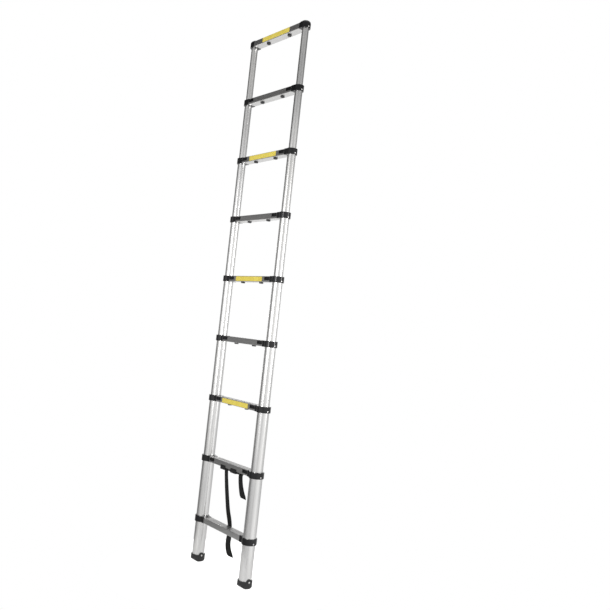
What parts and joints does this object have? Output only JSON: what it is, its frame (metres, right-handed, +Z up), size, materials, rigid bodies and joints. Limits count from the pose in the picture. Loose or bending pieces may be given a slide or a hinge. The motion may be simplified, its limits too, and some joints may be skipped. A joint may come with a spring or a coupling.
{
  "type": "telescopic ladder",
  "caption": "Telescopic aluminium ladder: nested tubes with a rung and black collars on each pair, spring latches under the rungs, rubber feet and a carrying strap.",
  "frame": {"origin": "on the floor midway between the two feet", "axes": "+Z up along the rails, +X along the rungs, -Y is the side that is climbed"},
  "size_m": [0.48, 0.0848, 2.614],
  "materials": {
    "tube_aluminium": "satin anodised drawn tube",
    "rung_aluminium": "satin anodised extrusion",
    "black_plastic": "glossy black nylon",
    "latch_plastic": "black nylon",
    "bush_plastic": "black nylon",
    "yellow_plastic": "yellow plastic with fine ribs",
    "black_rubber": "smooth black rubber",
    "spring_steel": "zinc plated wire",
    "webbing": "black woven polyester webbing"
  },
  "bodies": {
    "base": {"feet": "black_rubber", "section_1_tubes": "tube_aluminium", "rung_1_clamps": "black_plastic", "base_rungs": "rung_aluminium", "strap_long_tail": "webbing", "strap_short_tail": "webbing", "rung_2_joints": "black_plastic", "rung_2_latch_spring": "spring_steel"},
    "section_2": {"section_2_tubes": "tube_aluminium", "section_2_slide_bushes": "bush_plastic", "rung_3": "rung_aluminium", "rung_3_grip_strip": "yellow_plastic", "rung_3_joints": "black_plastic", "rung_3_latch_spring": "spring_steel"},
    "section_3": {"section_3_tubes": "tube_aluminium", "section_3_slide_bushes": "bush_plastic", "rung_4": "rung_aluminium", "rung_4_joints": "black_plastic", "rung_4_latch_spring": "spring_steel"},
    "section_4": {"section_4_tubes": "tube_aluminium", "section_4_slide_bushes": "bush_plastic", "rung_5": "rung_aluminium", "rung_5_grip_strip": "yellow_plastic", "rung_5_joints": "black_plastic", "rung_5_latch_spring": "spring_steel"},
    "section_5": {"section_5_tubes": "tube_aluminium", "section_5_slide_bushes": "bush_plastic", "rung_6": "rung_aluminium", "rung_6_joints": "black_plastic", "rung_6_latch_spring": "spring_steel"},
    "section_6": {"section_6_tubes": "tube_aluminium", "section_6_slide_bushes": "bush_plastic", "rung_7": "rung_aluminium", "rung_7_grip_strip": "yellow_plastic", "rung_7_joints": "black_plastic", "rung_7_latch_spring": "spring_steel"},
    "section_7": {"section_7_tubes": "tube_aluminium", "section_7_slide_bushes": "bush_plastic", "rung_8": "rung_aluminium", "rung_8_joints": "black_plastic", "rung_8_latch_spring": "spring_steel"},
    "section_8": {"section_8_tubes": "tube_aluminium", "section_8_slide_bushes": "bush_plastic", "rung_9": "rung_aluminium", "rung_9_grip_strip": "yellow_plastic", "top_caps": "black_plastic"},
    "rung_2_latch_left": {"rung_2_latch_left": "latch_plastic"},
    "rung_2_latch_right": {"rung_2_latch_right": "latch_plastic"},
    "rung_3_latch_left": {"rung_3_latch_left": "latch_plastic"},
    "rung_3_latch_right": {"rung_3_latch_right": "latch_plastic"},
    "rung_4_latch_left": {"rung_4_latch_left": "latch_plastic"},
    "rung_4_latch_right": {"rung_4_latch_right": "latch_plastic"},
    "rung_5_latch_left": {"rung_5_latch_left": "latch_plastic"},
    "rung_5_latch_right": {"rung_5_latch_right": "latch_plastic"},
    "rung_6_latch_left": {"rung_6_latch_left": "latch_plastic"},
    "rung_6_latch_right": {"rung_6_latch_right": "latch_plastic"},
    "rung_7_latch_left": {"rung_7_latch_left": "latch_plastic"},
    "rung_7_latch_right": {"rung_7_latch_right": "latch_plastic"},
    "rung_8_latch_left": {"rung_8_latch_left": "latch_plastic"},
    "rung_8_latch_right": {"rung_8_latch_right": "latch_plastic"}
  },
  "joints": [
    {"name": "section_2_slide", "type": "slide", "parent": "base", "child": "section_2", "axis": [0, 0, 1], "range_m": [-0.264, 0]},
    {"name": "section_3_slide", "type": "slide", "parent": "section_2", "child": "section_3", "axis": [0, 0, 1], "range_m": [-0.264, 0]},
    {"name": "section_4_slide", "type": "slide", "parent": "section_3", "child": "section_4", "axis": [0, 0, 1], "range_m": [-0.264, 0]},
    {"name": "section_5_slide", "type": "slide", "parent": "section_4", "child": "section_5", "axis": [0, 0, 1], "range_m": [-0.264, 0]},
    {"name": "section_6_slide", "type": "slide", "parent": "section_5", "child": "section_6", "axis": [0, 0, 1], "range_m": [-0.264, 0]},
    {"name": "section_7_slide", "type": "slide", "parent": "section_6", "child": "section_7", "axis": [0, 0, 1], "range_m": [-0.264, 0]},
    {"name": "section_8_slide", "type": "slide", "parent": "section_7", "child": "section_8", "axis": [0, 0, 1], "range_m": [-0.264, 0]},
    {"name": "rung_2_latch_left_pull", "type": "slide", "parent": "base", "child": "rung_2_latch_left", "axis": [1, 0, 0], "range_m": [0, 0.007], "stiffness_N_per_m": 400, "springref_m": -0.006, "deforming": ["rung_2_latch_spring"]},
    {"name": "rung_2_latch_right_pull", "type": "slide", "parent": "base", "child": "rung_2_latch_right", "axis": [-1, 0, 0], "range_m": [0, 0.007], "stiffness_N_per_m": 400, "springref_m": -0.006, "deforming": ["rung_2_latch_spring"]},
    {"name": "rung_3_latch_left_pull", "type": "slide", "parent": "section_2", "child": "rung_3_latch_left", "axis": [1, 0, 0], "range_m": [0, 0.007], "stiffness_N_per_m": 400, "springref_m": -0.006, "deforming": ["rung_3_latch_spring"]},
    {"name": "rung_3_latch_right_pull", "type": "slide", "parent": "section_2", "child": "rung_3_latch_right", "axis": [-1, 0, 0], "range_m": [0, 0.007], "stiffness_N_per_m": 400, "springref_m": -0.006, "deforming": ["rung_3_latch_spring"]},
    {"name": "rung_4_latch_left_pull", "type": "slide", "parent": "section_3", "child": "rung_4_latch_left", "axis": [1, 0, 0], "range_m": [0, 0.007], "stiffness_N_per_m": 400, "springref_m": -0.006, "deforming": ["rung_4_latch_spring"]},
    {"name": "rung_4_latch_right_pull", "type": "slide", "parent": "section_3", "child": "rung_4_latch_right", "axis": [-1, 0, 0], "range_m": [0, 0.007], "stiffness_N_per_m": 400, "springref_m": -0.006, "deforming": ["rung_4_latch_spring"]},
    {"name": "rung_5_latch_left_pull", "type": "slide", "parent": "section_4", "child": "rung_5_latch_left", "axis": [1, 0, 0], "range_m": [0, 0.007], "stiffness_N_per_m": 400, "springref_m": -0.006, "deforming": ["rung_5_latch_spring"]},
    {"name": "rung_5_latch_right_pull", "type": "slide", "parent": "section_4", "child": "rung_5_latch_right", "axis": [-1, 0, 0], "range_m": [0, 0.007], "stiffness_N_per_m": 400, "springref_m": -0.006, "deforming": ["rung_5_latch_spring"]},
    {"name": "rung_6_latch_left_pull", "type": "slide", "parent": "section_5", "child": "rung_6_latch_left", "axis": [1, 0, 0], "range_m": [0, 0.007], "stiffness_N_per_m": 400, "springref_m": -0.006, "deforming": ["rung_6_latch_spring"]},
    {"name": "rung_6_latch_right_pull", "type": "slide", "parent": "section_5", "child": "rung_6_latch_right", "axis": [-1, 0, 0], "range_m": [0, 0.007], "stiffness_N_per_m": 400, "springref_m": -0.006, "deforming": ["rung_6_latch_spring"]},
    {"name": "rung_7_latch_left_pull", "type": "slide", "parent": "section_6", "child": "rung_7_latch_left", "axis": [1, 0, 0], "range_m": [0, 0.007], "stiffness_N_per_m": 400, "springref_m": -0.006, "deforming": ["rung_7_latch_spring"]},
    {"name": "rung_7_latch_right_pull", "type": "slide", "parent": "section_6", "child": "rung_7_latch_right", "axis": [-1, 0, 0], "range_m": [0, 0.007], "stiffness_N_per_m": 400, "springref_m": -0.006, "deforming": ["rung_7_latch_spring"]},
    {"name": "rung_8_latch_left_pull", "type": "slide", "parent": "section_7", "child": "rung_8_latch_left", "axis": [1, 0, 0], "range_m": [0, 0.007], "stiffness_N_per_m": 400, "springref_m": -0.006, "deforming": ["rung_8_latch_spring"]},
    {"name": "rung_8_latch_right_pull", "type": "slide", "parent": "section_7", "child": "rung_8_latch_right", "axis": [-1, 0, 0], "range_m": [0, 0.007], "stiffness_N_per_m": 400, "springref_m": -0.006, "deforming": ["rung_8_latch_spring"]}
  ]
}
